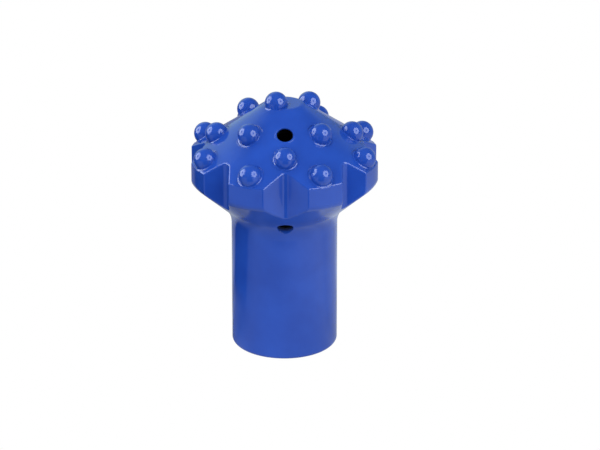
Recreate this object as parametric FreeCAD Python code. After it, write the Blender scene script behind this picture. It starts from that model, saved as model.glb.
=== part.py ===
import FreeCAD, Part
import os
from math import sin, cos, tan, radians, sqrt, atan2, degrees, pi

# Dome reaming bit, standing on its skirt. Millimetres, +Z up along the drilling axis.
# Origin: centre of the skirt's lower face. Azimuth 0 looks out along -Y, positive towards +X.

# Skirt and the threaded socket inside it
SKIRT_RADIUS = 28.0
SKIRT_LENGTH = 68.3          # the straight part, up to where the neck fillet starts
SKIRT_FOOT_ROUND = 2.0
NECK_FILLET = 15.0
THREAD_ROOT_RADIUS = 19.5    # the rope thread's ridges stand inwards from this wall
THREAD_PAST_SKIRT = 1.7      # how far the threaded bore runs on above the straight skirt
THREAD_MOUTH_CHAMFER = 1.5
SOCKET_SHOULDER_ANGLE = 45.0

# Flushing chamber above the thread
CHAMBER_RADIUS = 13.0
CHAMBER_LENGTH = 22.0        # from the end of the threaded bore, shoulder included
DRILL_POINT_ANGLE = 118.0

# Head
GAUGE_RADIUS = 50.3
GAUGE_HEIGHT = 11.7          # of the rim cylinder, corner to corner before the rounding
GAUGE_FOOT_ROUND = 4.5
UNDERSIDE_ANGLE = 41.6       # slope of the underside, from horizontal
FACE_ANGLE = 35.4            # slope of the conical face, from horizontal
FACE_HEIGHT = 28.7           # of the conical face, from the rim up to the flat crown
CROWN_ROUND = 5.0
EDGE_BREAK = 1.0             # soft edges of the rim and the notches

# Notches between the wings: vertical grooves with straight flanks and a round floor
WIDE_NOTCH_ANGLES = (0.0, 90.0, 180.0, 270.0)
WIDE_NOTCH_WIDTH = 23.2      # across the rim
WIDE_NOTCH_FLOOR_RADIUS = 41.6
WIDE_NOTCH_ROUND = 3.0
SIDE_NOTCH_ANGLES = (46.5, 133.5, 226.5, 313.5)
SIDE_NOTCH_WIDTH = 18.4
SIDE_NOTCH_FLOOR_RADIUS = 41.5
SIDE_NOTCH_ROUND = 3.5

# Buttons: straight shank, half-ball head, pressed into blind sockets
BUTTON_DIAMETER = 12.0
BUTTON_SHANK = 12.0          # from the ball's centre down to the shank's end
BUTTON_END_CHAMFER = 0.8
BUTTON_PROUD = 1.0           # ball's centre above the steel
SOCKET_CLEARANCE = 0.02      # on the radius, all that a pressed shank leaves
SPOT_FACE_DIAMETER = 14.8
SPOT_FACE_DEPTH = 0.45

# Where the buttons stand: radius of the ball's centre, and azimuths
GAUGE_BUTTON_RADIUS = 45.5
GAUGE_BUTTON_ANGLES = (24.0, 66.0, 114.0, 156.0, 204.0, 246.0, 294.0, 336.0)
OUTER_FACE_RADIUS = 35.5
OUTER_FACE_ANGLES = (0.0, 90.0, 180.0, 270.0)
INNER_FACE_RADIUS = 26.4
INNER_FACE_ANGLES = (45.0, 225.0, 315.0)
SHOULDER_RADIUS = 18.8
SHOULDER_ANGLE = 135.0
CROWN_BUTTON_RADIUS = 5.0
CROWN_BUTTON_ANGLE = 301.5

# Flushing holes
FLUSH_DIAMETER = 8.5
FACE_HOLE_RADIUS = 22.6      # of the mouth's centre, on the face
FACE_HOLE_ANGLES = (0.0, 180.0)
NECK_HOLE_RISE = 8.7         # of the mouth's centre in the neck, above the straight skirt
NECK_HOLE_ANGLES = (0.0, 180.0)
NECK_HOLE_TILT = 35.0        # outward end lower, from horizontal

# Heights that follow from the sizes above. The neck fillet is tangent to the skirt at its end,
# so the line of the underside meets the line of the skirt a little higher.
THREAD_DEPTH = SKIRT_LENGTH + THREAD_PAST_SKIRT
CHAMBER_TOP_Z = THREAD_DEPTH + CHAMBER_LENGTH
NECK_CORNER_Z = SKIRT_LENGTH + NECK_FILLET * tan(radians(90.0 - UNDERSIDE_ANGLE) / 2.0)
GAUGE_FOOT_Z = NECK_CORNER_Z + (GAUGE_RADIUS - SKIRT_RADIUS) * tan(radians(UNDERSIDE_ANGLE))
GAUGE_CORNER_Z = GAUGE_FOOT_Z + GAUGE_HEIGHT
CROWN_Z = GAUGE_CORNER_Z + FACE_HEIGHT
NECK_HOLE_Z = SKIRT_LENGTH + NECK_HOLE_RISE

TOLERANCE = 1e-6             # two places, or two directions, this near are the same


def point(radius, azimuth, z):
    """A place given by its distance from the axis, its azimuth and its height."""
    a = radians(azimuth)
    return FreeCAD.Vector(radius * sin(a), -radius * cos(a), z)


def direction(azimuth, elevation):
    """A unit vector that leans outwards at an azimuth, with an elevation above horizontal."""
    a, e = radians(azimuth), radians(elevation)
    return FreeCAD.Vector(sin(a) * cos(e), -cos(a) * cos(e), sin(e))


def face_height(radius):
    """Height of the conical face at a distance from the axis."""
    return GAUGE_CORNER_Z + (GAUGE_RADIUS - radius) * tan(radians(FACE_ANGLE))


def crown_edge_radius():
    """Where the conical face would meet the flat top, before the rounding."""
    return GAUGE_RADIUS - (CROWN_Z - GAUGE_CORNER_Z) / tan(radians(FACE_ANGLE))


class Outline:
    """A half section in the XZ plane, drawn corner by corner, each corner with its own rounding."""

    def __init__(self):
        self.corners = []

    def corner(self, r, z, rounding=0.0):
        self.corners.append((FreeCAD.Vector(r, 0, z), rounding))

    def wire(self):
        """Straight runs with a tangent arc at each rounded corner."""
        ends = []
        count = len(self.corners)
        for i, (here, rounding) in enumerate(self.corners):
            if rounding == 0.0:
                ends.append((here, here, None))
                continue
            back = (self.corners[i - 1][0] - here).normalize()
            ahead = (self.corners[(i + 1) % count][0] - here).normalize()
            half = back.getAngle(ahead) / 2.0
            reach = rounding / tan(half)
            middle = (back + ahead).normalize()
            centre = here + middle * (rounding / sin(half))
            ends.append((here + back * reach, here + ahead * reach, centre - middle * rounding))
        edges = []
        for i, (start, end, apex) in enumerate(ends):
            if apex is not None:
                edges.append(Part.Arc(start, apex, end).toShape())
            following = ends[(i + 1) % count][0]
            if end.distanceToPoint(following) > TOLERANCE:
                edges.append(Part.LineSegment(end, following).toShape())
        return Part.Wire(edges)


def turned_blank():
    """The forging as turned: head, neck and skirt, bored for the thread and the chamber."""
    shoulder_rise = (THREAD_ROOT_RADIUS - CHAMBER_RADIUS) * tan(radians(SOCKET_SHOULDER_ANGLE))
    point_rise = CHAMBER_RADIUS / tan(radians(DRILL_POINT_ANGLE / 2.0))

    outline = Outline()
    outline.corner(THREAD_ROOT_RADIUS + THREAD_MOUTH_CHAMFER, 0.0)
    outline.corner(SKIRT_RADIUS, 0.0, SKIRT_FOOT_ROUND)
    outline.corner(SKIRT_RADIUS, NECK_CORNER_Z, NECK_FILLET)
    outline.corner(GAUGE_RADIUS, GAUGE_FOOT_Z, GAUGE_FOOT_ROUND)
    outline.corner(GAUGE_RADIUS, GAUGE_CORNER_Z, EDGE_BREAK)
    outline.corner(crown_edge_radius(), CROWN_Z, CROWN_ROUND)
    outline.corner(0.0, CROWN_Z)
    outline.corner(0.0, CHAMBER_TOP_Z + point_rise)
    outline.corner(CHAMBER_RADIUS, CHAMBER_TOP_Z)
    outline.corner(CHAMBER_RADIUS, THREAD_DEPTH + shoulder_rise)
    outline.corner(THREAD_ROOT_RADIUS, THREAD_DEPTH)
    outline.corner(THREAD_ROOT_RADIUS, THREAD_MOUTH_CHAMFER)
    face = Part.Face(outline.wire())
    return face.revolve(FreeCAD.Vector(0, 0, 0), FreeCAD.Vector(0, 0, 1), 360.0)


def notch_cutter(azimuth, width, floor_radius, rounding):
    """A vertical groove through the head, as a prism with straight flanks and a round floor."""
    half = width / 2.0
    rim = sqrt(GAUGE_RADIUS ** 2 - half ** 2)
    centre = floor_radius + rounding
    # The flank runs from the rim corner and touches the floor's circle.
    reach = sqrt(half ** 2 + (rim - centre) ** 2)
    bearing = atan2(rim - centre, half)
    turn = bearing - (pi / 2.0 - atan2(rounding, sqrt(reach ** 2 - rounding ** 2)))
    touch = (rounding * cos(turn), centre + rounding * sin(turn))
    # Past the rim the flank goes on in its own direction, clear of the steel.
    run = ((half - touch[0]), (rim - touch[1]))
    outer = (half + run[0], rim + run[1])

    def at(u, v):
        return point(sqrt(u * u + v * v), azimuth + degrees(atan2(u, v)), 0.0)

    right_flank = Part.LineSegment(at(*outer), at(*touch)).toShape()
    floor = Part.Arc(at(*touch), at(0.0, floor_radius), at(-touch[0], touch[1])).toShape()
    left_flank = Part.LineSegment(at(-touch[0], touch[1]), at(-outer[0], outer[1])).toShape()
    lid = Part.LineSegment(at(-outer[0], outer[1]), at(*outer)).toShape()
    section = Part.Face(Part.Wire([right_flank, floor, left_flank, lid]))
    prism = section.extrude(FreeCAD.Vector(0, 0, CROWN_Z - SKIRT_LENGTH))
    prism.translate(FreeCAD.Vector(0, 0, SKIRT_LENGTH))
    return prism


def soften_notch_edges(body):
    """Rounds every edge where a notch breaks out of the face, the rim or the underside."""
    chosen = []
    for edge in body.Edges:
        faces = body.ancestorsOfType(edge, Part.Face)
        if len(faces) != 2:
            continue
        walls = [is_notch_wall(face) for face in faces]
        if walls[0] != walls[1]:
            chosen.append(edge)
    return body.makeFillet(EDGE_BREAK, chosen).Solids[0]


def is_notch_wall(face):
    """True for a notch's flank or floor: upright, and not centred on the drilling axis."""
    surface = face.Surface
    if isinstance(surface, Part.Plane):
        return abs(surface.Axis.z) < TOLERANCE
    if isinstance(surface, Part.Cylinder):
        centre = surface.Center
        return sqrt(centre.x ** 2 + centre.y ** 2) > TOLERANCE
    return False


def button_seats():
    """Every button: its name, the ball's centre and the axis that it is pressed in along."""
    lean = 90.0 - FACE_ANGLE
    lift = BUTTON_PROUD / cos(radians(FACE_ANGLE))
    rows = (("gauge_button", GAUGE_BUTTON_RADIUS, GAUGE_BUTTON_ANGLES),
            ("outer_face_button", OUTER_FACE_RADIUS, OUTER_FACE_ANGLES),
            ("inner_face_button", INNER_FACE_RADIUS, INNER_FACE_ANGLES))
    seats = []
    for name, radius, azimuths in rows:
        for number, azimuth in enumerate(azimuths, start=1):
            centre = point(radius, azimuth, face_height(radius) + lift)
            seats.append((f"{name}_{number}", centre, direction(azimuth, lean)))
    centre = point(SHOULDER_RADIUS, SHOULDER_ANGLE, face_height(SHOULDER_RADIUS) + lift)
    seats.append(("shoulder_button", centre, direction(SHOULDER_ANGLE, lean)))
    centre = point(CROWN_BUTTON_RADIUS, CROWN_BUTTON_ANGLE, CROWN_Z + BUTTON_PROUD)
    seats.append(("crown_button", centre, FreeCAD.Vector(0, 0, 1)))
    return seats


def button(centre, axis):
    """One carbide button: chamfered shank and half-ball head, turned about its own axis."""
    radius = BUTTON_DIAMETER / 2.0
    edges = [
        Part.LineSegment(FreeCAD.Vector(0, 0, -BUTTON_SHANK),
                         FreeCAD.Vector(radius - BUTTON_END_CHAMFER, 0, -BUTTON_SHANK)).toShape(),
        Part.LineSegment(FreeCAD.Vector(radius - BUTTON_END_CHAMFER, 0, -BUTTON_SHANK),
                         FreeCAD.Vector(radius, 0, BUTTON_END_CHAMFER - BUTTON_SHANK)).toShape(),
        Part.LineSegment(FreeCAD.Vector(radius, 0, BUTTON_END_CHAMFER - BUTTON_SHANK),
                         FreeCAD.Vector(radius, 0, 0)).toShape(),
        Part.Arc(FreeCAD.Vector(radius, 0, 0),
                 FreeCAD.Vector(radius * cos(pi / 4.0), 0, radius * sin(pi / 4.0)),
                 FreeCAD.Vector(0, 0, radius)).toShape(),
        Part.LineSegment(FreeCAD.Vector(0, 0, radius), FreeCAD.Vector(0, 0, -BUTTON_SHANK)).toShape(),
    ]
    turned = Part.Face(Part.Wire(edges)).revolve(FreeCAD.Vector(0, 0, 0), FreeCAD.Vector(0, 0, 1), 360.0)
    turned.Placement = FreeCAD.Placement(centre, FreeCAD.Rotation(FreeCAD.Vector(0, 0, 1), axis))
    return turned


def socket_cutter(centre, axis):
    """The blind socket of one button, with the shallow spot face milled round its mouth."""
    floor = centre - axis * BUTTON_SHANK
    clear = BUTTON_DIAMETER
    socket = Part.makeCylinder(BUTTON_DIAMETER / 2.0 + SOCKET_CLEARANCE, BUTTON_SHANK + clear, floor, axis)
    steel = centre - axis * BUTTON_PROUD
    spot = Part.makeCylinder(SPOT_FACE_DIAMETER / 2.0, clear, steel - axis * SPOT_FACE_DEPTH, axis)
    return socket.fuse(spot)


def face_hole(azimuth):
    """A flushing hole drilled square to the face, down into the chamber."""
    mouth = point(FACE_HOLE_RADIUS, azimuth, face_height(FACE_HOLE_RADIUS))
    inward = direction(azimuth, 90.0 - FACE_ANGLE) * -1.0
    depth = FACE_HOLE_RADIUS / sin(radians(FACE_ANGLE))
    start = mouth - inward * FLUSH_DIAMETER
    return Part.makeCylinder(FLUSH_DIAMETER / 2.0, depth + FLUSH_DIAMETER, start, inward)


def neck_radius(z):
    """Distance of the neck fillet's surface from the axis at a height."""
    rise = z - SKIRT_LENGTH
    return SKIRT_RADIUS + NECK_FILLET - sqrt(NECK_FILLET ** 2 - rise ** 2)


def neck_hole(azimuth):
    """A flushing hole from the neck, up and inwards into the chamber."""
    mouth = point(neck_radius(NECK_HOLE_Z), azimuth, NECK_HOLE_Z)
    inward = direction(azimuth, -NECK_HOLE_TILT) * -1.0
    depth = (neck_radius(NECK_HOLE_Z) - CHAMBER_RADIUS / 2.0) / cos(radians(NECK_HOLE_TILT))
    start = mouth - inward * 2.0 * FLUSH_DIAMETER
    return Part.makeCylinder(FLUSH_DIAMETER / 2.0, depth + 2.0 * FLUSH_DIAMETER, start, inward)


def bit_body():
    """The whole steel body."""
    body = turned_blank()
    notches = [notch_cutter(azimuth, WIDE_NOTCH_WIDTH, WIDE_NOTCH_FLOOR_RADIUS, WIDE_NOTCH_ROUND)
               for azimuth in WIDE_NOTCH_ANGLES]
    notches += [notch_cutter(azimuth, SIDE_NOTCH_WIDTH, SIDE_NOTCH_FLOOR_RADIUS, SIDE_NOTCH_ROUND)
                for azimuth in SIDE_NOTCH_ANGLES]
    body = body.cut(notches).Solids[0]
    body = soften_notch_edges(body)
    body = body.cut([socket_cutter(centre, axis) for _, centre, axis in button_seats()])
    body = body.cut([face_hole(azimuth) for azimuth in FACE_HOLE_ANGLES])
    return body.cut([neck_hole(azimuth) for azimuth in NECK_HOLE_ANGLES])


def write(name, shape):
    """Writes one node and prints what it measures."""
    solid = shape.Solids[0]
    box = solid.BoundBox
    print(f"{name}: {len(shape.Solids)} solid, valid {solid.isValid()}, {solid.Volume:.0f} mm3, "
          f"x {box.XMin:.2f} {box.XMax:.2f}, z {box.ZMin:.2f} {box.ZMax:.2f}")
    solid.exportStep(os.path.join("parts", name + ".step"))


os.makedirs("parts", exist_ok=True)
write("bit_body", bit_body())
for name, centre, axis in button_seats():
    write(name, button(centre, axis))
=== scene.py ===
# %% [markdown]
# # A dome reaming bit, dressed in Blender
#
# The bit is a forged and turned steel head on a short skirt, with eight wings round its rim and
# seventeen tungsten carbide buttons pressed into its sloping face. The whole bit is sprayed with
# blue enamel after the buttons are in, so the buttons are blue too. The exact solids come from the
# CAD model, which is loaded first and never moved. This file adds what a camera would notice:
# the enamel itself, the paint that gathers round each button, the rope thread inside the skirt,
# and a small photo studio.

# %% Load the solids
import bpy
import math
from mathutils import Matrix, Vector


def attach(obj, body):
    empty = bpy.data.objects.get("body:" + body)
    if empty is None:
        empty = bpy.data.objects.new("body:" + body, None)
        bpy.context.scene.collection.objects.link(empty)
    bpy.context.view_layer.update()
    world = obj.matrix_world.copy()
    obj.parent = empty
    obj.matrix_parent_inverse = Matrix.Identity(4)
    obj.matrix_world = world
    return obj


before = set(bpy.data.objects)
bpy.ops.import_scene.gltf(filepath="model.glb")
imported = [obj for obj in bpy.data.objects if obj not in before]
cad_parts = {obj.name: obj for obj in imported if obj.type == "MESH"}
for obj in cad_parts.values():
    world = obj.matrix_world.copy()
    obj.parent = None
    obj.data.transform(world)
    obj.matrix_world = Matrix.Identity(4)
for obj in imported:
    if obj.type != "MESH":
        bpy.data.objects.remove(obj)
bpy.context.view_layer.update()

scene = bpy.context.scene
MM = 0.001

# %% [markdown]
# ## Small helpers
#
# Colours are written as sRGB hex values, as a paint chart gives them, and Blender's shaders want
# linear light, so one function converts them. Another adds a node together with its settings and
# what feeds its inputs. It serves materials, lights and Geometry Nodes alike, so each of them reads
# as a short list. The node types that come up most often get short names first.

# %% Colour and node helpers
MATHS = "ShaderNodeMath"
VECTOR = "ShaderNodeVectorMath"
RANGE = "ShaderNodeMapRange"
MIX = "ShaderNodeMix"
MIX_A = 6      # the first colour of a Mix node,
MIX_B = 7      # its second colour,
MIX_OUT = 2    # and the mixed colour


def linear(hex_colour):
    """An sRGB hex colour as linear RGBA."""
    parts = [int(hex_colour[i:i + 2], 16) / 255 for i in (1, 3, 5)]
    return tuple(c / 12.92 if c <= 0.04045 else ((c + 0.055) / 1.055) ** 2.4 for c in parts) + (1.0,)


def add_node(tree, kind, feeds=(), **settings):
    """Adds a node. A setting names an input or a property. A feed is an output or a value, and its input."""
    node = tree.nodes.new(kind)
    for name, value in settings.items():
        spaced = name.replace("_", " ")
        if spaced in node.inputs:
            node.inputs[spaced].default_value = value
        else:
            setattr(node, name, value)
    for source, socket in feeds:
        if isinstance(source, bpy.types.NodeSocket):
            tree.links.new(source, node.inputs[socket])
        else:
            node.inputs[socket].default_value = source
    return node


def new_material(name):
    """An empty node material, and its tree."""
    material = bpy.data.materials.new(name)
    material.use_nodes = True
    material.node_tree.nodes.clear()
    return material, material.node_tree


# %% [markdown]
# ## Blue enamel over steel
#
# The finish is an air-dried alkyd enamel, sprayed thick over the forging. A resin film of this kind
# is a coloured diffuse base under a clear, smooth skin with an IOR of about 1.5, so one Principled
# shader with a low roughness gives it. What tells the eye that it is sprayed and not moulded is the
# faint waviness called orange peel, with waves about 2 mm long and a hundredth of a millimetre
# high, and a slight change of depth in the colour where the film is thicker. Both could be painted
# over a UV map, but noise on Object coordinates needs none and is sized straight in millimetres.

# %% Enamel layer
PEEL_WAVE = 2.2 * MM         # length of the orange peel's waves
PEEL_HEIGHT = 0.012 * MM     # and their height
DUST_GRAIN = 0.5 * MM        # overspray dust in the film
DUST_SPREAD = (0.3, 0.75)    # the part of the dust noise that changes the roughness
GLOSS = (0.07, 0.14)         # roughness without and with dust
CLOUD_SIZE = 24 * MM         # patches where the film is a little thicker
CLOUD_SPREAD = (0.35, 0.65)
BLUE_LIGHT = "#1F47A7"
BLUE_DEEP = "#1B409C"
RESIN_IOR = 1.5


def enamel_layer(tree):
    """Place, colour, roughness and normal of the sprayed film."""
    place = add_node(tree, "ShaderNodeTexCoord").outputs["Object"]
    clouds = add_node(tree, "ShaderNodeTexNoise", [(place, "Vector")], Scale=1 / CLOUD_SIZE, Detail=3.0,
                      Roughness=0.55)
    depth = add_node(tree, RANGE, [(clouds.outputs["Fac"], "Value")],
                     From_Min=CLOUD_SPREAD[0], From_Max=CLOUD_SPREAD[1])
    colour = add_node(tree, MIX, [(depth.outputs[0], "Factor"), (linear(BLUE_LIGHT), MIX_A),
                                  (linear(BLUE_DEEP), MIX_B)], data_type="RGBA")
    peel = add_node(tree, "ShaderNodeTexNoise", [(place, "Vector")], Scale=1 / PEEL_WAVE, Detail=1.0)
    dust = add_node(tree, "ShaderNodeTexNoise", [(place, "Vector")], Scale=1 / DUST_GRAIN, Detail=2.0)
    gloss = add_node(tree, RANGE, [(dust.outputs["Fac"], "Value")], From_Min=DUST_SPREAD[0],
                     From_Max=DUST_SPREAD[1], To_Min=GLOSS[0], To_Max=GLOSS[1])
    skin = add_node(tree, "ShaderNodeBump", [(peel.outputs["Fac"], "Height")], Distance=PEEL_HEIGHT)
    return place, colour.outputs[MIX_OUT], gloss.outputs[0], skin.outputs[0]


button_enamel, tree = new_material("blue_enamel_on_carbide")
place, colour, gloss, skin = enamel_layer(tree)
coat = add_node(tree, "ShaderNodeBsdfPrincipled",
                [(colour, "Base Color"), (gloss, "Roughness"), (skin, "Normal")], IOR=RESIN_IOR)
add_node(tree, "ShaderNodeOutputMaterial", [(coat.outputs[0], "Surface")])
print("enamel ready:", button_enamel.name)

# %% [markdown]
# ## Where the spray doesn't reach
#
# The threaded socket and the chamber are plugged while the bit is sprayed, and the flushing holes
# are too narrow for paint to reach far into, so those walls stay bare, dark, oiled steel. They belong
# to the same forging, so they stay in the same object. The mask is worked out from Object
# coordinates: how far a point lies from the axis of each bore. That follows the real geometry, so
# the border falls exactly on the bore's edge, which a painted or noise mask would miss.
#
# The holes come in pairs, one in front and one behind, so the coordinates are made positive first and
# one mask serves both. The cross product of an offset with a bore's axis is as long as the point's
# distance from that axis, and the dot product is its depth.

# %% Masks for the bare bores
SOCKET_RADIUS = 21.15 * MM           # the thread's wall, with its mouth chamfer
CHAMBER_CEILING = 103 * MM
BORE_RADIUS = 4.33 * MM              # a flushing hole's wall, with a hair over
FACE_HOLE = (22.6 * MM, 126.22 * MM, math.radians(54.6))    # mouth: radius, height, lean of the axis
NECK_HOLE = (30.78 * MM, 77.0 * MM, math.radians(-35.0))
FACE_FADE = (0.0, 0.5 * MM)          # the paint ends between these two depths
NECK_FADE = (0.5 * MM, 3.5 * MM)
HOLE_PAIRS = ((FACE_HOLE, FACE_FADE), (NECK_HOLE, NECK_FADE))


def bore_mask(tree, place, hole, fade):
    """1 inside a leaning bore, deeper than the paint reaches."""
    radius, height, lean = hole
    inward = (0, -math.cos(lean), -math.sin(lean))
    offset = add_node(tree, VECTOR, [(place, 0), ((0, radius, height), 1)], operation="SUBTRACT").outputs[0]
    depth = add_node(tree, VECTOR, [(offset, 0), (inward, 1)], operation="DOT_PRODUCT").outputs["Value"]
    across = add_node(tree, VECTOR, [(offset, 0), (inward, 1)], operation="CROSS_PRODUCT").outputs[0]
    reach = add_node(tree, VECTOR, [(across, 0)], operation="LENGTH").outputs["Value"]
    inside = add_node(tree, MATHS, [(reach, 0), (BORE_RADIUS, 1)], operation="LESS_THAN").outputs[0]
    deep = add_node(tree, RANGE, [(depth, "Value")], From_Min=fade[0], From_Max=fade[1]).outputs[0]
    return add_node(tree, MATHS, [(inside, 0), (deep, 1)], operation="MULTIPLY").outputs[0]


body_enamel, tree = new_material("blue_enamel_on_forged_steel")
place, colour, gloss, skin = enamel_layer(tree)
level = add_node(tree, VECTOR, [(place, 0), ((1, 1, 0), 1)], operation="MULTIPLY").outputs[0]
centre = add_node(tree, VECTOR, [(level, 0)], operation="LENGTH").outputs["Value"]
height = add_node(tree, "ShaderNodeSeparateXYZ", [(place, "Vector")]).outputs["Z"]
within = add_node(tree, MATHS, [(centre, 0), (SOCKET_RADIUS, 1)], operation="LESS_THAN").outputs[0]
below = add_node(tree, MATHS, [(height, 0), (CHAMBER_CEILING, 1)], operation="LESS_THAN").outputs[0]
bare = add_node(tree, MATHS, [(within, 0), (below, 1)], operation="MULTIPLY").outputs[0]
positive = add_node(tree, VECTOR, [(place, 0)], operation="ABSOLUTE").outputs[0]
for hole, fade in HOLE_PAIRS:
    bore = bore_mask(tree, positive, hole, fade)
    bare = add_node(tree, MATHS, [(bare, 0), (bore, 1)], operation="MAXIMUM").outputs[0]
print("masked: the socket and", 2 * len(HOLE_PAIRS), "flushing holes")

# %% [markdown]
# The bare steel is turned or drilled, so its fine grooves run round the bore. Cut into the mesh they
# would cost far too many faces, so bands of colour across the height stand for them. They are 3 mm
# apart, which is much coarser than a real finishing cut, because finer ones would not show at all. A
# thin oil film makes the steel dark.

# %% Bare steel mixed in by the mask
FEED_BAND = 3.1416 * MM
WAVE_STEP = 20 / (2 * math.pi)    # bands in one unit of a Wave texture whose scale is 1
STEEL_RIDGE = "#4A4D51"
STEEL_GROOVE = "#1B1C1F"
STEEL_ROUGHER = 0.28              # the cut steel is rougher than the enamel by this much

grooves = add_node(tree, "ShaderNodeTexWave", [(place, "Vector")], wave_type="BANDS", bands_direction="Z",
                   Scale=1 / (FEED_BAND * WAVE_STEP), Distortion=0.6)
steel = add_node(tree, MIX, [(grooves.outputs["Fac"], "Factor"), (linear(STEEL_RIDGE), MIX_A),
                             (linear(STEEL_GROOVE), MIX_B)], data_type="RGBA").outputs[MIX_OUT]
whole = add_node(tree, MIX, [(bare, "Factor"), (colour, MIX_A), (steel, MIX_B)], data_type="RGBA")
rough = add_node(tree, MATHS, [(bare, 0), (STEEL_ROUGHER, 1), (gloss, 2)], operation="MULTIPLY_ADD")
coat = add_node(tree, "ShaderNodeBsdfPrincipled",
                [(whole.outputs[MIX_OUT], "Base Color"), (rough.outputs[0], "Roughness"),
                 (bare, "Metallic"), (skin, "Normal")], IOR=RESIN_IOR)
add_node(tree, "ShaderNodeOutputMaterial", [(coat.outputs[0], "Surface")])

for name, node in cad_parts.items():
    node.data.materials[0] = body_enamel if name == "bit_body" else button_enamel
print("enamel on", len(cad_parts), "solids")

# %% [markdown]
# ## Seats of the buttons
#
# Each button is a carbide ball on a straight shank, pressed in square to the conical face, in a
# shallow spot face that gives the drill a flat start. The seats could be measured on the meshes, but
# the sizes that made the solids give them exactly: the radius and azimuth of each ball's centre, and
# the slope of the face.

# %% Button seats
FACE_SLOPE = math.radians(35.4)
FACE_NORMAL = math.pi / 2 - FACE_SLOPE    # elevation of the face's normal
GAUGE_RADIUS = 50.3 * MM
GAUGE_CORNER_Z = 106.54 * MM
CROWN_Z = 135.24 * MM
BALL_LIFT = 1.0 * MM                      # the ball's centre stands this far off the face
SPOT_DEPTH = 0.45 * MM
SEATS = ([(45.5, a) for a in (24, 66, 114, 156, 204, 246, 294, 336)]
         + [(35.5, a) for a in (0, 90, 180, 270)]
         + [(26.4, a) for a in (45, 225, 315)]
         + [(18.8, 135)])
CROWN_SEAT = (5.0, 301.5)


def around(radius, azimuth, height):
    """A point at a distance from the axis; azimuth 0 is towards -Y, positive towards +X."""
    a = math.radians(azimuth)
    return Vector((radius * math.sin(a), -radius * math.cos(a), height))


seats = []
for radius, azimuth in SEATS:
    axis = around(math.cos(FACE_NORMAL), azimuth, math.sin(FACE_NORMAL))
    face_z = GAUGE_CORNER_Z + (GAUGE_RADIUS - radius * MM) * math.tan(FACE_SLOPE)
    ball = around(radius * MM, azimuth, face_z + BALL_LIFT / math.cos(FACE_SLOPE))
    seats.append((ball - axis * (BALL_LIFT + SPOT_DEPTH), axis))
seats.append((around(CROWN_SEAT[0] * MM, CROWN_SEAT[1], CROWN_Z - SPOT_DEPTH), Vector((0, 0, 1))))
print("button seats:", len(seats))

# %% [markdown]
# ## Paint beads round the buttons
#
# Wet enamel creeps up a wall that it meets and stays there as a concave bead, and it rounds off the
# sharp rim of the spot face. Those beads catch the light as thin bright crescents, and the bit would
# look unpainted without them. There are seventeen, nearly all alike, and each has to follow the cone,
# the flat crown or the broken rim that it lies on. Sculpted by hand they would be seventeen jobs.
# Geometry Nodes make one of it: a ring is put on every seat, and then each of its points is dropped
# onto the steel with a ray and lifted by the film's thickness at that distance from the ball.
#
# A CAD mesh has flat facets, and a glossy film that follows them would show each one. So most points
# follow a finely turned copy of the face, and only near the notches, where the steel falls away from
# it, do they follow the steel. The copy is a line of radii and heights, turned round the axis, and it
# is deleted once the beads are made.

# %% A finely turned face
RIM_ROUND = 1.0 * MM
CROWN_ROUND = 5.0 * MM
SHELL_SIDE = 6 * MM      # the shell also covers this much of the rim's side
SHELL_EYE = 0.01 * MM    # and stops this far from the axis
SHELL_TURNS = 720
CROWN_EDGE = GAUGE_RADIUS - (CROWN_Z - GAUGE_CORNER_Z) / math.tan(FACE_SLOPE)


def rounding(corner_r, corner_z, radius, first, turned, steps=12):
    """Points along a rounded corner, where the normal starts at one angle and turns by another."""
    bisector = first + turned / 2
    reach = radius / math.cos(turned / 2)
    middle_r = corner_r - reach * math.cos(bisector)
    middle_z = corner_z - reach * math.sin(bisector)
    angles = [first + turned * i / steps for i in range(steps + 1)]
    return [(middle_r + radius * math.cos(a), middle_z + radius * math.sin(a)) for a in angles]


face_line = ([(GAUGE_RADIUS, GAUGE_CORNER_Z - SHELL_SIDE)]
             + rounding(GAUGE_RADIUS, GAUGE_CORNER_Z, RIM_ROUND, 0.0, FACE_NORMAL)
             + rounding(CROWN_EDGE, CROWN_Z, CROWN_ROUND, FACE_NORMAL, FACE_SLOPE)
             + [(SHELL_EYE, CROWN_Z)])
points = []
for radius, height in face_line:
    points += [around(radius, 360 * i / SHELL_TURNS, height) for i in range(SHELL_TURNS)]
faces = []
for row in range(len(face_line) - 1):
    for i in range(SHELL_TURNS):
        here = row * SHELL_TURNS + i
        beside = row * SHELL_TURNS + (i + 1) % SHELL_TURNS
        faces.append((here, beside, beside + SHELL_TURNS, here + SHELL_TURNS))
face_mesh = bpy.data.meshes.new("turned_face")
face_mesh.from_pydata(points, [], faces)
turned_face = bpy.data.objects.new("turned_face", face_mesh)
scene.collection.objects.link(turned_face)
print("turned face:", len(faces), "faces")

# %% [markdown]
# Every tree of Geometry Nodes here starts in the same way, with named inputs for its sizes, and ends
# in the same way, with real geometry, smooth shading and a material. Beads and hole lips also share
# the step that puts a copy of a shape on every point and turns it to that point's own axis.

# %% Helpers for the trees
def new_tree(name, inputs):
    """An empty tree with named inputs and one geometry output, and the sockets of its inputs."""
    tree = bpy.data.node_groups.new(name, "GeometryNodeTree")
    for label, kind in inputs:
        tree.interface.new_socket(label, in_out="INPUT", socket_type="NodeSocket" + kind)
    tree.interface.new_socket("Geometry", in_out="OUTPUT", socket_type="NodeSocketGeometry")
    return tree, tree.nodes.new("NodeGroupInput").outputs


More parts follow.
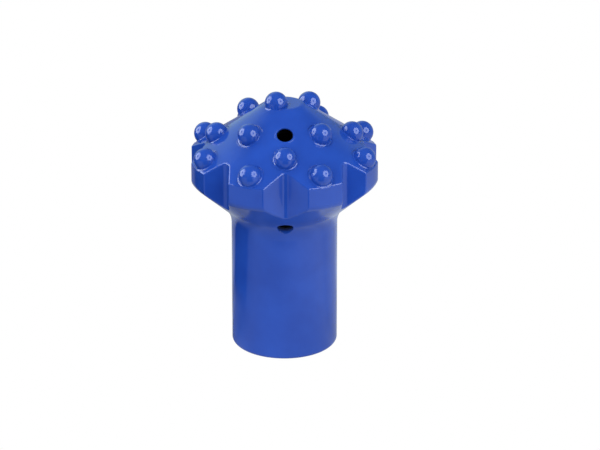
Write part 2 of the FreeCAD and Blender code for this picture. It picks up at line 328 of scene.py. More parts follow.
def put_on_points(tree, points, shape):
    """A real copy of a shape on every point, turned to the point's axis, and that axis."""
    axis = add_node(tree, "GeometryNodeInputNamedAttribute", data_type="FLOAT_VECTOR", Name="axis").outputs[0]
    turned = add_node(tree, "FunctionNodeAlignRotationToVector", [(axis, "Vector")], axis="Z")
    placed = add_node(tree, "GeometryNodeInstanceOnPoints",
                      [(points, "Points"), (shape, "Instance"), (turned.outputs[0], "Rotation")])
    real = add_node(tree, "GeometryNodeRealizeInstances", [(placed.outputs[0], "Geometry")])
    return real.outputs[0], axis


def end_tree(tree, shape, finish):
    """Makes a tree's shape real, smooth and finished, and hands it out."""
    real = add_node(tree, "GeometryNodeRealizeInstances", [(shape, "Geometry")])
    smooth = add_node(tree, "GeometryNodeSetShadeSmooth", [(real.outputs[0], "Geometry")])
    dressed = add_node(tree, "GeometryNodeSetMaterial",
                       [(smooth.outputs[0], "Geometry"), (finish, "Material")])
    add_node(tree, "NodeGroupOutput", [(dressed.outputs[0], 0)])


# %% Beads: a ring on every seat
BEAD_INNER = 5.90 * MM    # just inside the ball's foot
BEAD_OUTER = 8.00 * MM
RING_STEPS = 80
PROFILE_STEPS = 56

bead_tree, given = new_tree("paint_bead_rings", (
    ("Geometry", "Geometry"), ("Steel", "Object"), ("Turned Face", "Object"), ("Inner Radius", "Float"),
    ("Outer Radius", "Float"), ("Bead Height", "Float"), ("Paint", "Material")))
inner, outer = given["Inner Radius"], given["Outer Radius"]
width = add_node(bead_tree, MATHS, [(outer, 0), (inner, 1)], operation="SUBTRACT").outputs[0]
half = add_node(bead_tree, MATHS, [(width, 0), (0.5, 1)], operation="MULTIPLY").outputs[0]
middle = add_node(bead_tree, MATHS, [(inner, 0), (half, 1)], operation="ADD").outputs[0]
loop = add_node(bead_tree, "GeometryNodeCurvePrimitiveCircle", [(middle, "Radius")], Resolution=RING_STEPS)
section = add_node(bead_tree, "GeometryNodeCurvePrimitiveCircle", [(half, "Radius")],
                   Resolution=PROFILE_STEPS)
ring = add_node(bead_tree, "GeometryNodeCurveToMesh",
                [(loop.outputs["Curve"], "Curve"), (section.outputs["Curve"], "Profile Curve")])
here = add_node(bead_tree, "GeometryNodeInputPosition").outputs[0]
marked = add_node(bead_tree, "GeometryNodeStoreNamedAttribute",
                  [(given["Geometry"], "Geometry"), (here, "Value")],
                  data_type="FLOAT_VECTOR", domain="POINT", Name="seat")
rings, axis = put_on_points(bead_tree, marked.outputs[0], ring.outputs[0])
print("rings laid out:", len(seats), "with", RING_STEPS, "by", PROFILE_STEPS, "points each")

# %% [markdown]
# Each point of a ring is now described as seen from its seat: how high it lies along the axis, and
# how far out. In Geometry Nodes a number that is fed into a vector input counts for all three axes,
# so Multiply Add can move a point along a direction by a worked-out length.

# %% Beads: where each point lies on its seat
OUTSIDE = 7.55 * MM    # outside this radius every ray meets the face and not the spot face

seat = add_node(bead_tree, "GeometryNodeInputNamedAttribute", data_type="FLOAT_VECTOR",
                Name="seat").outputs[0]
offset = add_node(bead_tree, VECTOR, [(here, 0), (seat, 1)], operation="SUBTRACT").outputs[0]
height = add_node(bead_tree, VECTOR, [(offset, 0), (axis, 1)], operation="DOT_PRODUCT").outputs["Value"]
upright = add_node(bead_tree, VECTOR, [(axis, 0), (height, "Scale")], operation="SCALE").outputs[0]
flat = add_node(bead_tree, VECTOR, [(offset, 0), (upright, 1)], operation="SUBTRACT").outputs[0]
reach = add_node(bead_tree, VECTOR, [(flat, 0)], operation="LENGTH").outputs["Value"]
floor_point = add_node(bead_tree, VECTOR, [(seat, 0), (flat, 1)], operation="ADD").outputs[0]
farther = add_node(bead_tree, MATHS, [(reach, 0), (OUTSIDE, 1)], operation="MAXIMUM").outputs[0]
beyond = add_node(bead_tree, MATHS, [(farther, 0), (reach, 1)], operation="DIVIDE").outputs[0]
outer_point = add_node(bead_tree, VECTOR, [(flat, 0), (beyond, 1), (seat, 2)],
                       operation="MULTIPLY_ADD").outputs[0]
print("bead tree, with the places:", len(bead_tree.nodes), "nodes")

# %% [markdown]
# Rays down the axis now find the turned face and the steel. Where the steel lies lower, as in a
# notch, the film goes down with it. The spot face lies lower too and is no notch, so the two are
# compared at a place outside it, on the same side of the ball.

# %% Beads: the steel under each point
RAY_START = 2.5 * MM
RAY_LENGTH = 5.0 * MM
FALLS_AWAY = (0.12 * MM, 0.30 * MM)    # a gap under the first is no notch, and over the second it is one
RIM_CLIMB = (7.00 * MM, 7.34 * MM)     # the film climbs the spot face's wall between these radii

down = add_node(bead_tree, VECTOR, [(axis, 0), (-1.0, "Scale")], operation="SCALE").outputs[0]


def height_of(target, foot):
    """Height over a place on the seat's floor at which a ray down the axis meets an object, or 0."""
    start = add_node(bead_tree, VECTOR, [(axis, 0), ((RAY_START,) * 3, 1), (foot, 2)],
                     operation="MULTIPLY_ADD").outputs[0]
    shape = add_node(bead_tree, "GeometryNodeObjectInfo", [(given[target], "Object")])
    ray = add_node(bead_tree, "GeometryNodeRaycast",
                   [(shape.outputs["Geometry"], "Target Geometry"), (start, "Source Position"),
                    (down, "Ray Direction")], Ray_Length=RAY_LENGTH)
    found = add_node(bead_tree, MATHS, [(RAY_START, 0), (ray.outputs["Hit Distance"], 1)],
                     operation="SUBTRACT").outputs[0]
    return add_node(bead_tree, MATHS, [(found, 0), (ray.outputs["Is Hit"], 1)],
                    operation="MULTIPLY").outputs[0]


apart = add_node(bead_tree, MATHS, [(height_of("Turned Face", outer_point), 0),
                                    (height_of("Steel", outer_point), 1)], operation="SUBTRACT").outputs[0]
leaves = add_node(bead_tree, RANGE, [(apart, "Value")], interpolation_type="SMOOTHSTEP",
                  From_Min=FALLS_AWAY[0], From_Max=FALLS_AWAY[1]).outputs[0]
drop = add_node(bead_tree, MATHS, [(leaves, 0), (apart, 1)], operation="MULTIPLY").outputs[0]
surface = add_node(bead_tree, MATHS, [(height_of("Turned Face", floor_point), 0), (drop, 1)],
                   operation="SUBTRACT").outputs[0]
climb = add_node(bead_tree, RANGE, [(reach, "Value")], interpolation_type="SMOOTHSTEP",
                 From_Min=RIM_CLIMB[0], From_Max=RIM_CLIMB[1]).outputs[0]
climbed = add_node(bead_tree, MATHS, [(surface, 0), (climb, 1)], operation="MULTIPLY").outputs[0]
ground = add_node(bead_tree, MATHS, [(surface, 0), (climbed, 1)], operation="MINIMUM").outputs[0]
print("bead tree, with the rays:", len(bead_tree.nodes), "nodes")

# %% [markdown]
# The film itself is a curve: high where it clings to the ball, then falling in one concave sweep, and
# at its edge it dives into the steel, so that no step shows. The upper half of each ring becomes the
# film, and the lower half is hidden under the steel and closes the shape.

# %% Beads: the film's thickness
BEAD_HEIGHT = 0.74 * MM       # from the sunk edge to the film's top on the ball
BEAD_SINK = 0.12 * MM         # the edge dives this far into the steel
UNDERSIDE = 0.16 * MM         # and the ring's underside lies this deep
UPPER_FROM = 0.01 * MM        # a ring's points above this height belong to the film
CROWN_FULLNESS = 0.45         # the crown's falling edge lets the film run off
# How far out (0 is the inner edge, 1 the outer), and the share of the height there.
FILM = ((0.000, 1.000), (0.048, 0.838), (0.119, 0.649), (0.190, 0.514), (0.286, 0.392), (0.381, 0.311),
        (0.476, 0.257), (0.571, 0.216), (0.667, 0.189), (0.762, 0.169), (0.857, 0.149), (0.952, 0.122),
        (1.000, 0.000))

across = add_node(bead_tree, RANGE, [(reach, "Value"), (inner, "From Min"), (outer, "From Max")]).outputs[0]
shape = add_node(bead_tree, "ShaderNodeFloatCurve", [(across, "Value")])
curve = shape.mapping.curves[0]
curve.points[0].location = FILM[0]
curve.points[1].location = FILM[-1]
for spot, value in FILM[1:-1]:
    curve.points.new(spot, value)
shape.mapping.update()
fullness = add_node(bead_tree, "GeometryNodeInputNamedAttribute", data_type="FLOAT",
                    Name="fullness").outputs[0]
tall = add_node(bead_tree, MATHS, [(shape.outputs[0], 0), (given["Bead Height"], 1)],
                operation="MULTIPLY").outputs[0]
film = add_node(bead_tree, MATHS, [(tall, 0), (fullness, 1), (-BEAD_SINK, 2)],
                operation="MULTIPLY_ADD").outputs[0]
upper = add_node(bead_tree, MATHS, [(height, 0), (UPPER_FROM, 1)], operation="GREATER_THAN").outputs[0]
lift = add_node(bead_tree, RANGE, [(upper, "Value"), (film, "To Max")], To_Min=-UNDERSIDE).outputs[0]
total = add_node(bead_tree, MATHS, [(ground, 0), (lift, 1)], operation="ADD").outputs[0]
target = add_node(bead_tree, VECTOR, [(axis, 0), (total, 1), (floor_point, 2)],
                  operation="MULTIPLY_ADD").outputs[0]
moved = add_node(bead_tree, "GeometryNodeSetPosition", [(rings, "Geometry"), (target, "Position")])
end_tree(bead_tree, moved.outputs[0], given["Paint"])
print("bead tree, complete:", len(bead_tree.nodes), "nodes")

# %% [markdown]
# The tree is run once and its result kept as a plain mesh, because a live modifier can't be
# exported. The helper does that for any tree: it sets the inputs by their identifiers, evaluates the
# object, copies the result and removes the carrier.

# %% Run a tree and keep its mesh
def baked_piece(name, carrier_mesh, tree, values):
    """A plain mesh object made by running a node tree on a carrier mesh."""
    carrier = bpy.data.objects.new(name + "_carrier", carrier_mesh)
    scene.collection.objects.link(carrier)
    modifier = carrier.modifiers.new("make", "NODES")
    modifier.node_group = tree
    for socket in tree.interface.items_tree:
        if socket.in_out == "INPUT" and socket.name in values:
            modifier[socket.identifier] = values[socket.name]
    bpy.context.view_layer.update()
    evaluated = carrier.evaluated_get(bpy.context.evaluated_depsgraph_get())
    mesh = bpy.data.meshes.new_from_object(evaluated)
    mesh.name = name
    bpy.data.objects.remove(carrier)
    piece = bpy.data.objects.new(name, mesh)
    scene.collection.objects.link(piece)
    print(name, "-", len(mesh.polygons), "faces")
    return piece


def axis_points(name, places):
    """A mesh of loose points, each with the axis that belongs to it."""
    mesh = bpy.data.meshes.new(name)
    mesh.from_pydata([tuple(foot) for foot, _ in places], [], [])
    leans = mesh.attributes.new("axis", "FLOAT_VECTOR", "POINT")
    for item, (_, lean) in zip(leans.data, places):
        item.vector = lean
    return mesh


# %% Beads: the piece
seat_mesh = axis_points("button_seats", seats)
full = seat_mesh.attributes.new("fullness", "FLOAT", "POINT")
for item in full.data:
    item.value = 1.0
full.data[len(seats) - 1].value = CROWN_FULLNESS
beads = baked_piece("paint_beads", seat_mesh, bead_tree,
                    {"Steel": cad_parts["bit_body"], "Turned Face": turned_face,
                     "Inner Radius": BEAD_INNER, "Outer Radius": BEAD_OUTER,
                     "Bead Height": BEAD_HEIGHT, "Paint": button_enamel})
bpy.data.objects.remove(turned_face)
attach(beads, "root")

# %% [markdown]
# ## Paint lips round the flushing holes
#
# Paint also draws back from a sharp edge and leaves it round, so each hole's mouth shows a thin light
# line. A bevel would give it, but the solid's own mesh isn't changed. So a ring of small round section
# follows the mouth: every point of a circle is dropped onto the steel with a ray and then sunk, so
# that only a quarter of the section shows.

# %% Hole lips: the tree
LIP_ROUND = 0.70 * MM
LIP_SUNK = 0.63 * MM
LIP_INNER = 4.25 * MM    # the hole's radius
LIP_STEPS = 72
TUBE_STEPS = 20

lip_tree, given = new_tree("hole_lips", (
    ("Geometry", "Geometry"), ("Steel", "Object"), ("Ring Radius", "Float"), ("Lip Round", "Float"),
    ("Lip Sunk", "Float"), ("Paint", "Material")))
circle = add_node(lip_tree, "GeometryNodeCurvePrimitiveCircle", [(given["Ring Radius"], "Radius")],
                  Resolution=LIP_STEPS)
circles, axis = put_on_points(lip_tree, given["Geometry"], circle.outputs["Curve"])
here = add_node(lip_tree, "GeometryNodeInputPosition").outputs[0]
start = add_node(lip_tree, VECTOR, [(axis, 0), ((RAY_START,) * 3, 1), (here, 2)],
                 operation="MULTIPLY_ADD").outputs[0]
down = add_node(lip_tree, VECTOR, [(axis, 0), (-1.0, "Scale")], operation="SCALE").outputs[0]
steel = add_node(lip_tree, "GeometryNodeObjectInfo", [(given["Steel"], "Object")])
ray = add_node(lip_tree, "GeometryNodeRaycast",
               [(steel.outputs["Geometry"], "Target Geometry"), (start, "Source Position"),
                (down, "Ray Direction")], Ray_Length=RAY_LENGTH)
place = add_node(lip_tree, VECTOR, [(down, 0), (given["Lip Sunk"], 1), (ray.outputs["Hit Position"], 2)],
                 operation="MULTIPLY_ADD").outputs[0]
sunk = add_node(lip_tree, "GeometryNodeSetPosition", [(circles, "Geometry"), (place, "Position")])
section = add_node(lip_tree, "GeometryNodeCurvePrimitiveCircle", [(given["Lip Round"], "Radius")],
                   Resolution=TUBE_STEPS)
tube = add_node(lip_tree, "GeometryNodeCurveToMesh",
                [(sunk.outputs[0], "Curve"), (section.outputs["Curve"], "Profile Curve")])
end_tree(lip_tree, tube.outputs[0], given["Paint"])
print("lip tree:", len(lip_tree.nodes), "nodes")

# %% Hole lips: the piece
mouths = []
for radius, height, lean in (FACE_HOLE, NECK_HOLE):
    for side in (0, 180):
        mouths.append((around(radius, side, height), around(math.cos(lean), side, math.sin(lean))))
lips = baked_piece("hole_lips", axis_points("hole_mouths", mouths), lip_tree,
                   {"Steel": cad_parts["bit_body"], "Ring Radius": LIP_INNER + LIP_SUNK,
                    "Lip Round": LIP_ROUND, "Lip Sunk": LIP_SUNK, "Paint": button_enamel})
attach(lips, "root")

# %% [markdown]
# ## Rope thread in the socket
#
# The skirt screws onto the drill string by a coarse left-hand rope thread: a rounded ridge that
# winds up the bore, 15.5 mm from turn to turn. The solids carry only the plain wall of the bore,
# because a thread is fine detail to a CAD part. A real thread also runs out at both ends. A Screw
# modifier could wind the ridge but not let it run out, so Geometry Nodes draw it: a flattened round
# section is swept along a spiral curve, and the sweep's Scale input, which sizes the section at each
# point of the curve, falls almost to nothing at the ends.

# %% Thread: the tree
THREAD_ROOT = 19.5 * MM
THREAD_RIDGE = 2.2 * MM
THREAD_PITCH = 15.5 * MM
THREAD_START = 3.0 * MM
THREAD_TURNS = 4.2
RIDGE_STRETCH = 2.0      # the ridge is this much wider than it is high
RUN_OUT = 1 / 14         # the share of the curve over which the ridge grows
THINNEST = 0.02
TURN_STEPS = 64

thread_tree, given = new_tree("rope_thread", (
    ("Root Radius", "Float"), ("Ridge", "Float"), ("Pitch", "Float"), ("Turns", "Float"),
    ("Start", "Float"), ("Steel", "Material")))
rise = add_node(thread_tree, MATHS, [(given["Pitch"], 0), (given["Turns"], 1)], operation="MULTIPLY")
helix = add_node(thread_tree, "GeometryNodeCurveSpiral",
                 [(given["Turns"], "Rotations"), (given["Root Radius"], "Start Radius"),
                  (given["Root Radius"], "End Radius"), (rise.outputs[0], "Height")], Resolution=TURN_STEPS)
upright = add_node(thread_tree, "GeometryNodeSetCurveNormal", [(helix.outputs[0], "Curve")], mode="Z_UP")
along = add_node(thread_tree, "GeometryNodeSplineParameter").outputs["Factor"]
left = add_node(thread_tree, MATHS, [(1.0, 0), (along, 1)], operation="SUBTRACT").outputs[0]
nearer = add_node(thread_tree, MATHS, [(along, 0), (left, 1)], operation="MINIMUM").outputs[0]
grown = add_node(thread_tree, MATHS, [(nearer, 0), (RUN_OUT, 1)], operation="DIVIDE", use_clamp=True)
fade = add_node(thread_tree, MATHS, [(grown.outputs[0], 0), (THINNEST, 1)], operation="MAXIMUM")
section = add_node(thread_tree, "GeometryNodeCurvePrimitiveCircle", [(given["Ridge"], "Radius")],
                   Resolution=TUBE_STEPS)
squashed = add_node(thread_tree, "GeometryNodeTransform", [(section.outputs["Curve"], "Geometry")],
                    Scale=(1.0, RIDGE_STRETCH, 1.0))
swept = add_node(thread_tree, "GeometryNodeCurveToMesh",
                 [(upright.outputs[0], "Curve"), (squashed.outputs[0], "Profile Curve"),
                  (fade.outputs[0], "Scale")], Fill_Caps=True)
lifted = add_node(thread_tree, "ShaderNodeCombineXYZ", [(given["Start"], "Z")])
raised = add_node(thread_tree, "GeometryNodeTransform",
                  [(swept.outputs[0], "Geometry"), (lifted.outputs[0], "Translation")])
end_tree(thread_tree, raised.outputs[0], given["Steel"])
print("thread tree:", len(thread_tree.nodes), "nodes")

# %% [markdown]
# The thread is cut and not painted. It's the same oiled steel as the bore, a metal with a medium
# roughness, and a fine noise stands for the marks of the tool.

# %% Thread: turned steel, and the piece
CUT_MARK = 1.5 * MM
CUT_LIGHT = "#4A4C50"
CUT_DARK = "#2E3034"
CUT_ROUGHNESS = (0.25, 0.45)

thread_steel, tree = new_material("oiled_turned_steel")
place = add_node(tree, "ShaderNodeTexCoord").outputs["Object"]
marks = add_node(tree, "ShaderNodeTexNoise", [(place, "Vector")], Scale=1 / CUT_MARK, Detail=3.0)
tone = add_node(tree, MIX, [(marks.outputs["Fac"], "Factor"), (linear(CUT_LIGHT), MIX_A),
                            (linear(CUT_DARK), MIX_B)], data_type="RGBA")
shine = add_node(tree, RANGE, [(marks.outputs["Fac"], "Value")],
                 To_Min=CUT_ROUGHNESS[0], To_Max=CUT_ROUGHNESS[1])
metal = add_node(tree, "ShaderNodeBsdfPrincipled",
                 [(tone.outputs[MIX_OUT], "Base Color"), (shine.outputs[0], "Roughness")], Metallic=1.0)
add_node(tree, "ShaderNodeOutputMaterial", [(metal.outputs[0], "Surface")])

empty_mesh = bpy.data.meshes.new("thread_start")
empty_mesh.from_pydata([(0, 0, 0)], [], [])
thread = baked_piece("rope_thread", empty_mesh, thread_tree,
                     {"Root Radius": THREAD_ROOT, "Ridge": THREAD_RIDGE, "Pitch": THREAD_PITCH,
                      "Turns": THREAD_TURNS, "Start": THREAD_START, "Steel": thread_steel})
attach(thread, "root")

# %% [markdown]
# ## The camera
#
# The photograph was taken from a little above, with a long lens, so the verticals stay upright and
# the rim's near and far edges are almost the same length. Distance and lens were fitted to the outline
# of the bit. The bit is turned by about a degree against the camera, and since the solids stay where
# they are, the camera is turned round them instead.

# %% Camera
CAMERA_DISTANCE = 2.0
CAMERA_DIP = math.radians(23.23)
CAMERA_AIM = Vector((0.00825, 0.0, 0.06578))
CAMERA_TURN = math.radians(-1.11)
LENS = 226.34

back_off = Vector((0.0, -math.cos(CAMERA_DIP), math.sin(CAMERA_DIP))) * CAMERA_DISTANCE
camera = bpy.data.objects.new("camera", bpy.data.cameras.new("camera"))
scene.collection.objects.link(camera)
camera.data.lens = LENS
camera.data.clip_start = 0.05
camera.data.clip_end = 50.0
camera.matrix_world = (Matrix.Rotation(CAMERA_TURN, 4, "Z") @ Matrix.Translation(CAMERA_AIM + back_off)
                       @ Matrix.Rotation(math.pi / 2 - CAMERA_DIP, 4, "X"))
scene.camera = camera
print("camera at", [round(v, 3) for v in camera.matrix_world.translation])

# %% [markdown]
# ## The studio
#
# Glossy enamel mirrors its surroundings, so the studio matters as much as the paint. The photograph has a
# pure white background without a shadow: the bit stood on a light table between two large softboxes, with
# dark cards on the table. Those cards, and a painted shade of the bit that is worked into the table's glow,
# draw the dark bands on the skirt and on the wings.
# Such a picture is also graded afterwards, so its shadows are lifted more than its highlights. To keep that
# balance each light comes in two layers: a fill, which only the paint's base colour receives, and a shine,
# which only its clear skin mirrors. Lamps would do for the fill, but glowing panels can be shaded with nodes,
# and their outline shows in the paint. All of them are stage pieces.

# %% Studio helpers
scene.view_settings.view_transform = "Standard"
SHINE_TINT = (0.88, 0.97, 1.08, 1.0)
CLOTH_TINT = (0.66, 0.92, 0.80, 1.0)
WHITE = (1.0, 1.0, 1.0, 1.0)


def studio_piece(name, points, faces, material, role):
    """A studio piece. role is fill, shine or backdrop, and says which rays meet it."""
    mesh = bpy.data.meshes.new(name)
    mesh.from_pydata([tuple(p) for p in points], [], faces)
    mesh.materials.append(material)
    piece = bpy.data.objects.new(name, mesh)
    scene.collection.objects.link(piece)
    piece.visible_camera = role == "backdrop"
    piece.visible_diffuse = role == "fill"
    piece.visible_glossy = role == "shine"
    piece.visible_shadow = False
    piece.visible_transmission = False
    print("studio piece:", name)


def glow(name, tint):
    """A glowing material, its tree, and the socket of its strength."""
    material, tree = new_material(name)
    light = add_node(tree, "ShaderNodeEmission", Color=tint)
    add_node(tree, "ShaderNodeOutputMaterial", [(light.outputs[0], "Surface")])
    return material, tree, light.inputs["Strength"]


def disc(radius, height, corners=48):
    """Points and face of a flat disc that faces up."""
    return [around(radius, 360 * i / corners, height) for i in range(corners)], [tuple(range(corners))]


# %% [markdown]
# The light table is one glowing disc for each layer. Its fill is weaker on the left. Its shine is weaker on
# the left and behind the bit, and two dark cards and four patches of painted shade are worked into it as
# masks. A mask costs no geometry, and its soft border does what cards bent up at their edges do. The two
# black cards lie on the left and in front. The four patches of painted shade stand for the shade that the bit
# itself throws on the table: two soft ones on the left and on the right, which reach across the whole table,
# and two behind the bit, dark close to the foot and fading outwards.

# %% Light table: sizes
TABLE_EDGE = 8.0
TABLE_BELOW = 0.3 * MM                 # the table lies this far under the bit
SHEET_BELOW = 0.4 * MM
FILL_LEVELS = (0.22, 1.2)              # at the left and right ends of the table's glow
FILL_SPAN = (-0.15, 0.15)              # and where those ends lie
SHINE_LEVELS = (0.55, 0.95)
SHINE_SPAN = (-0.02, 0.14)
BACK_LEVEL = 0.58                      # this share of the shine is left behind the bit
BACK_SPAN = (0.08, 0.20)
# Two dark cards, then four patches of painted shade that the bit throws on the table. Each has the azimuths
# of its ends and the blur of both in degrees. Then the distance from the axis at which it starts, with the
# blur there, which is negative where it is dark inside that distance and not outside it. Then how dark it is.
DARK_CARDS_AND_PAINTED_SHADE = ((-131, -80, 4, 0.072, 0.030, 1.0), (-27, 26, 4, 0.180, 0.020, 1.0),
              # These four are painted shade: the shade that the bit throws on the table.
              (-140, -62, 25, -0.01, 0.01, 0.62), (75, 142, 14, -0.01, 0.01, 0.28),
              (129, 185, 4, 0.105, -0.05, 0.30), (-185, -129, 4, 0.110, -0.04, 0.50))


def card_and_painted_shade_mask(tree, azimuth, radius, first, last, soft, near, blur, depth):
    """How much one of the dark cards, or one patch of painted shade, darkens the table."""
    dark = depth
    for value, edge, width in ((azimuth, math.radians(first), math.radians(soft)),
                               (azimuth, math.radians(last), math.radians(-soft)), (radius, near, blur)):
        low, high = sorted((edge, edge + width))
        step = add_node(tree, RANGE, [(value, "Value")], From_Min=low, From_Max=high,
                        To_Min=0.0 if width > 0 else 1.0, To_Max=1.0 if width > 0 else 0.0)
        dark = add_node(tree, MATHS, [(step.outputs[0], 0), (dark, 1)], operation="MULTIPLY").outputs[0]
    return dark


# %% Light table: its fill
material, tree, strength = glow("table_fill", WHITE)
place = add_node(tree, "ShaderNodeNewGeometry").outputs["Position"]
x = add_node(tree, "ShaderNodeSeparateXYZ", [(place, "Vector")]).outputs["X"]
level = add_node(tree, RANGE, [(x, "Value")], From_Min=FILL_SPAN[0], From_Max=FILL_SPAN[1],
                 To_Min=FILL_LEVELS[0], To_Max=FILL_LEVELS[1])
tree.links.new(level.outputs[0], strength)
studio_piece("table_fill", *disc(TABLE_EDGE, -TABLE_BELOW), material, "fill")

# %% Light table: its shine
material, tree, strength = glow("table_shine", SHINE_TINT)
place = add_node(tree, "ShaderNodeNewGeometry").outputs["Position"]
x, y, _ = add_node(tree, "ShaderNodeSeparateXYZ", [(place, "Vector")]).outputs
level = add_node(tree, RANGE, [(x, "Value")], From_Min=SHINE_SPAN[0], From_Max=SHINE_SPAN[1],
                 To_Min=SHINE_LEVELS[0], To_Max=SHINE_LEVELS[1]).outputs[0]
back = add_node(tree, RANGE, [(y, "Value")], From_Min=BACK_SPAN[0], From_Max=BACK_SPAN[1],
                To_Min=1.0, To_Max=BACK_LEVEL).outputs[0]
level = add_node(tree, MATHS, [(level, 0), (back, 1)], operation="MULTIPLY").outputs[0]
front = add_node(tree, MATHS, [(y, 0), (-1.0, 1)], operation="MULTIPLY").outputs[0]
azimuth = add_node(tree, MATHS, [(x, 0), (front, 1)], operation="ARCTAN2").outputs[0]
radius = add_node(tree, VECTOR, [(place, 0)], operation="LENGTH").outputs["Value"]
# Each of the dark cards, and each patch of painted shade that stands for the bit's own shade, darkens the
# shine.
for card_or_painted_shade in DARK_CARDS_AND_PAINTED_SHADE:
    dark = card_and_painted_shade_mask(tree, azimuth, radius, *card_or_painted_shade)
    light = add_node(tree, MATHS, [(1.0, 0), (dark, 1)], operation="SUBTRACT").outputs[0]
    level = add_node(tree, MATHS, [(level, 0), (light, 1)], operation="MULTIPLY").outputs[0]
tree.links.new(level, strength)
studio_piece("table_shine", *disc(TABLE_EDGE, -TABLE_BELOW), material, "shine")

# %% [markdown]
# What the camera sees under the bit is a sheet of plain white. It glows only upwards and is clear
# from below, so that the socket can be looked into from there.

# %% White sheet
sheet, tree = new_material("white_sheet")
side = add_node(tree, "ShaderNodeNewGeometry").outputs["Backfacing"]
paper = add_node(tree, "ShaderNodeEmission", Strength=1.0)
clear = add_node(tree, "ShaderNodeBsdfTransparent")
both = add_node(tree, "ShaderNodeMixShader", [(side, 0), (paper.outputs[0], 1), (clear.outputs[0], 2)])
add_node(tree, "ShaderNodeOutputMaterial", [(both.outputs[0], "Surface")])
studio_piece("white_sheet", *disc(TABLE_EDGE, -SHEET_BELOW), sheet, "backdrop")

# %% [markdown]
# Round the table stands a tent of white cloth. As fill it glows in front and overhead. As shine it
# is bright only behind the bit, low down and to the left, and nearly dark in front, and to the right
# the bright part reaches less high. The shine part is the world itself, which the camera sees as plain
# white.

# %% Tent: its zones
TENT_FILL = {"left": 2.2, "right": 1.0, "top": 1.5}
TENT_SHINE = {"back_left": 1.0, "back_middle": 0.32, "back_right": 0.50, "top": 0.16, "front": 0.06}
# The edges of the zones, as parts of a direction of length 1.
BEHIND = (-0.15, 0.15)        # in Y
RIGHT = (-0.20, 0.25)         # in X
FAR_RIGHT = (0.35, 0.55)
OVERHEAD = (0.42, 0.65)       # in Z
BACK_TOP = (0.55, 0.88)       # where the bright back ends,
DROP_SPAN = (0.0, 0.4)        # the X over which it comes down,
SHINE_DROP = 0.22             # and by how much, in the shine


def tent_zones(tree, direction, drop):
    """Masks over the directions: behind and low, to the right, overhead, and far to the right."""
    x, y, z = add_node(tree, "ShaderNodeSeparateXYZ", [(direction, "Vector")]).outputs
    behind = add_node(tree, RANGE, [(y, "Value")], From_Min=BEHIND[0], From_Max=BEHIND[1]).outputs[0]
    right = add_node(tree, RANGE, [(x, "Value")], From_Min=RIGHT[0], From_Max=RIGHT[1]).outputs[0]
    far_right = add_node(tree, RANGE, [(x, "Value")], From_Min=FAR_RIGHT[0], From_Max=FAR_RIGHT[1])
    top = add_node(tree, RANGE, [(z, "Value")], From_Min=OVERHEAD[0], From_Max=OVERHEAD[1]).outputs[0]
    shift = add_node(tree, RANGE, [(x, "Value")], From_Min=DROP_SPAN[0], From_Max=DROP_SPAN[1],
                     To_Max=drop)
    raised = add_node(tree, MATHS, [(z, 0), (shift.outputs[0], 1)], operation="ADD").outputs[0]
    low = add_node(tree, RANGE, [(raised, "Value")], From_Min=BACK_TOP[0], From_Max=BACK_TOP[1],
                   To_Min=1.0, To_Max=0.0).outputs[0]
    back_low = add_node(tree, MATHS, [(behind, 0), (low, 1)], operation="MULTIPLY").outputs[0]
    return back_low, right, top, far_right.outputs[0]


# %% [markdown]
# A Map Range node whose two ends are brightnesses blends from one zone to the next. The cloth dome
# carries the fill.

# %% Tent: the dome's fill
TENT_RADIUS = 7.5
TENT_RINGS = 12
TENT_SPOKES = 24

material, tree, strength = glow("tent_fill", WHITE)
place = add_node(tree, "ShaderNodeNewGeometry").outputs["Position"]
direction = add_node(tree, VECTOR, [(place, 0)], operation="NORMALIZE").outputs[0]
back_low, right, top, _ = tent_zones(tree, direction, 0.0)
sides = add_node(tree, RANGE, [(right, "Value")], To_Min=TENT_FILL["left"], To_Max=TENT_FILL["right"])
upper = add_node(tree, RANGE, [(top, "Value"), (sides.outputs[0], "To Min")], To_Max=TENT_FILL["top"])
cloth = add_node(tree, RANGE, [(back_low, "Value"), (upper.outputs[0], "To Min")], To_Max=0.0)
tree.links.new(cloth.outputs[0], strength)

points = []
for ring in range(TENT_RINGS + 1):
    rise = math.pi / 2 * ring / TENT_RINGS
    points += [around(TENT_RADIUS * math.cos(rise), 360 * i / TENT_SPOKES, TENT_RADIUS * math.sin(rise))
               for i in range(TENT_SPOKES)]
faces = []
for ring in range(TENT_RINGS):
    for i in range(TENT_SPOKES):
        here = ring * TENT_SPOKES + i
        beside = ring * TENT_SPOKES + (i + 1) % TENT_SPOKES
        faces.append((here, beside, beside + TENT_SPOKES, here + TENT_SPOKES))
studio_piece("tent_fill", points, faces, material, "fill")

# %% Tent: the world's shine
room = bpy.data.worlds.new("tent_shine")
scene.world = room
room.cycles_visibility.diffuse = False
room.use_nodes = True
tree = room.node_tree
tree.nodes.clear()
look = add_node(tree, "ShaderNodeTexCoord").outputs["Generated"]
back_low, right, top, far_right = tent_zones(tree, look, SHINE_DROP)
wall = add_node(tree, RANGE, [(right, "Value")], To_Min=TENT_SHINE["back_left"],
                To_Max=TENT_SHINE["back_middle"])
wall = add_node(tree, RANGE, [(far_right, "Value"), (wall.outputs[0], "To Min")],
                To_Max=TENT_SHINE["back_right"])
upper = add_node(tree, RANGE, [(top, "Value")], To_Min=TENT_SHINE["front"], To_Max=TENT_SHINE["top"])
shine = add_node(tree, RANGE, [(back_low, "Value"), (upper.outputs[0], "To Min"),
                               (wall.outputs[0], "To Max")])
seen = add_node(tree, "ShaderNodeLightPath").outputs["Is Camera Ray"]
tint = add_node(tree, MIX, [(seen, "Factor"), (CLOTH_TINT, MIX_A), (WHITE, MIX_B)], data_type="RGBA")
power = add_node(tree, RANGE, [(seen, "Value"), (shine.outputs[0], "To Min")], To_Max=1.0)
air = add_node(tree, "ShaderNodeBackground",
               [(tint.outputs[MIX_OUT], "Color"), (power.outputs[0], "Strength")])
add_node(tree, "ShaderNodeOutputWorld", [(air.outputs[0], "Surface")])
print("world:", room.name)

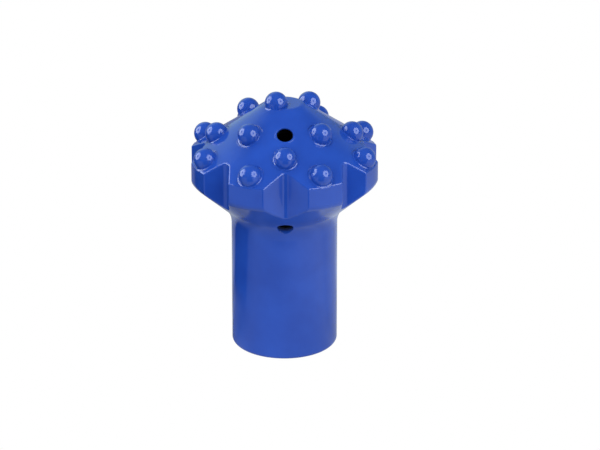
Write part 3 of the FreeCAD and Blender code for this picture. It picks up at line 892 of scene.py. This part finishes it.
# %% [markdown]
# The two softboxes are eight-sided. Their outlines and places are read from the highlights that they
# leave on the round buttons: one stands to the left and a little behind, the other to the right of
# the camera. Each has a dimmer middle, where the lamp's cap hides behind the cloth.

# %% Softboxes
SOFTBOX_DISTANCE = 1.2
SOFTBOX_AIM = Vector((0.0, 0.0, 0.1))
# Name, azimuth, elevation and half width in degrees, and the strengths of the fill and the shine.
SOFTBOXES = (("left", -98, 24, 27, 1.5, 5.5), ("right", 53.5, 31, 28, 2.0, 5.5))
SIDES = 8
CAP_EDGE = (0.126, 0.216)    # the lamp's cap ends between these radii
CAP_SHARE = 0.25             # and lets through this share of the light


def octagon(azimuth, elevation, spread):
    """Corners of an eight-sided panel that faces the bit, and its middle."""
    facing = around(math.cos(math.radians(elevation)), azimuth, math.sin(math.radians(elevation)))
    side = Vector((0, 0, 1)).cross(facing).normalized()
    up = facing.cross(side)
    size = SOFTBOX_DISTANCE * math.tan(math.radians(spread)) / math.cos(math.pi / SIDES)
    middle = SOFTBOX_AIM + facing * SOFTBOX_DISTANCE
    turns = [(i + 0.5) * 2 * math.pi / SIDES for i in range(SIDES)]
    return [middle + (side * math.cos(t) + up * math.sin(t)) * size for t in turns], middle


for name, azimuth, elevation, spread, fill, shine in SOFTBOXES:
    corners, middle = octagon(azimuth, elevation, spread)
    panel = [tuple(range(SIDES))]
    material, tree, strength = glow(name + "_softbox_fill", WHITE)
    strength.default_value = fill
    studio_piece(name + "_softbox_fill", corners, panel, material, "fill")
    material, tree, strength = glow(name + "_softbox_shine", SHINE_TINT)
    place = add_node(tree, "ShaderNodeNewGeometry").outputs["Position"]
    off = add_node(tree, VECTOR, [(place, 0), (middle, 1)], operation="DISTANCE").outputs["Value"]
    cap = add_node(tree, RANGE, [(off, "Value")], From_Min=CAP_EDGE[0], From_Max=CAP_EDGE[1],
                   To_Min=CAP_SHARE * shine, To_Max=shine)
    tree.links.new(cap.outputs[0], strength)
    studio_piece(name + "_softbox_shine", corners, panel, material, "shine")
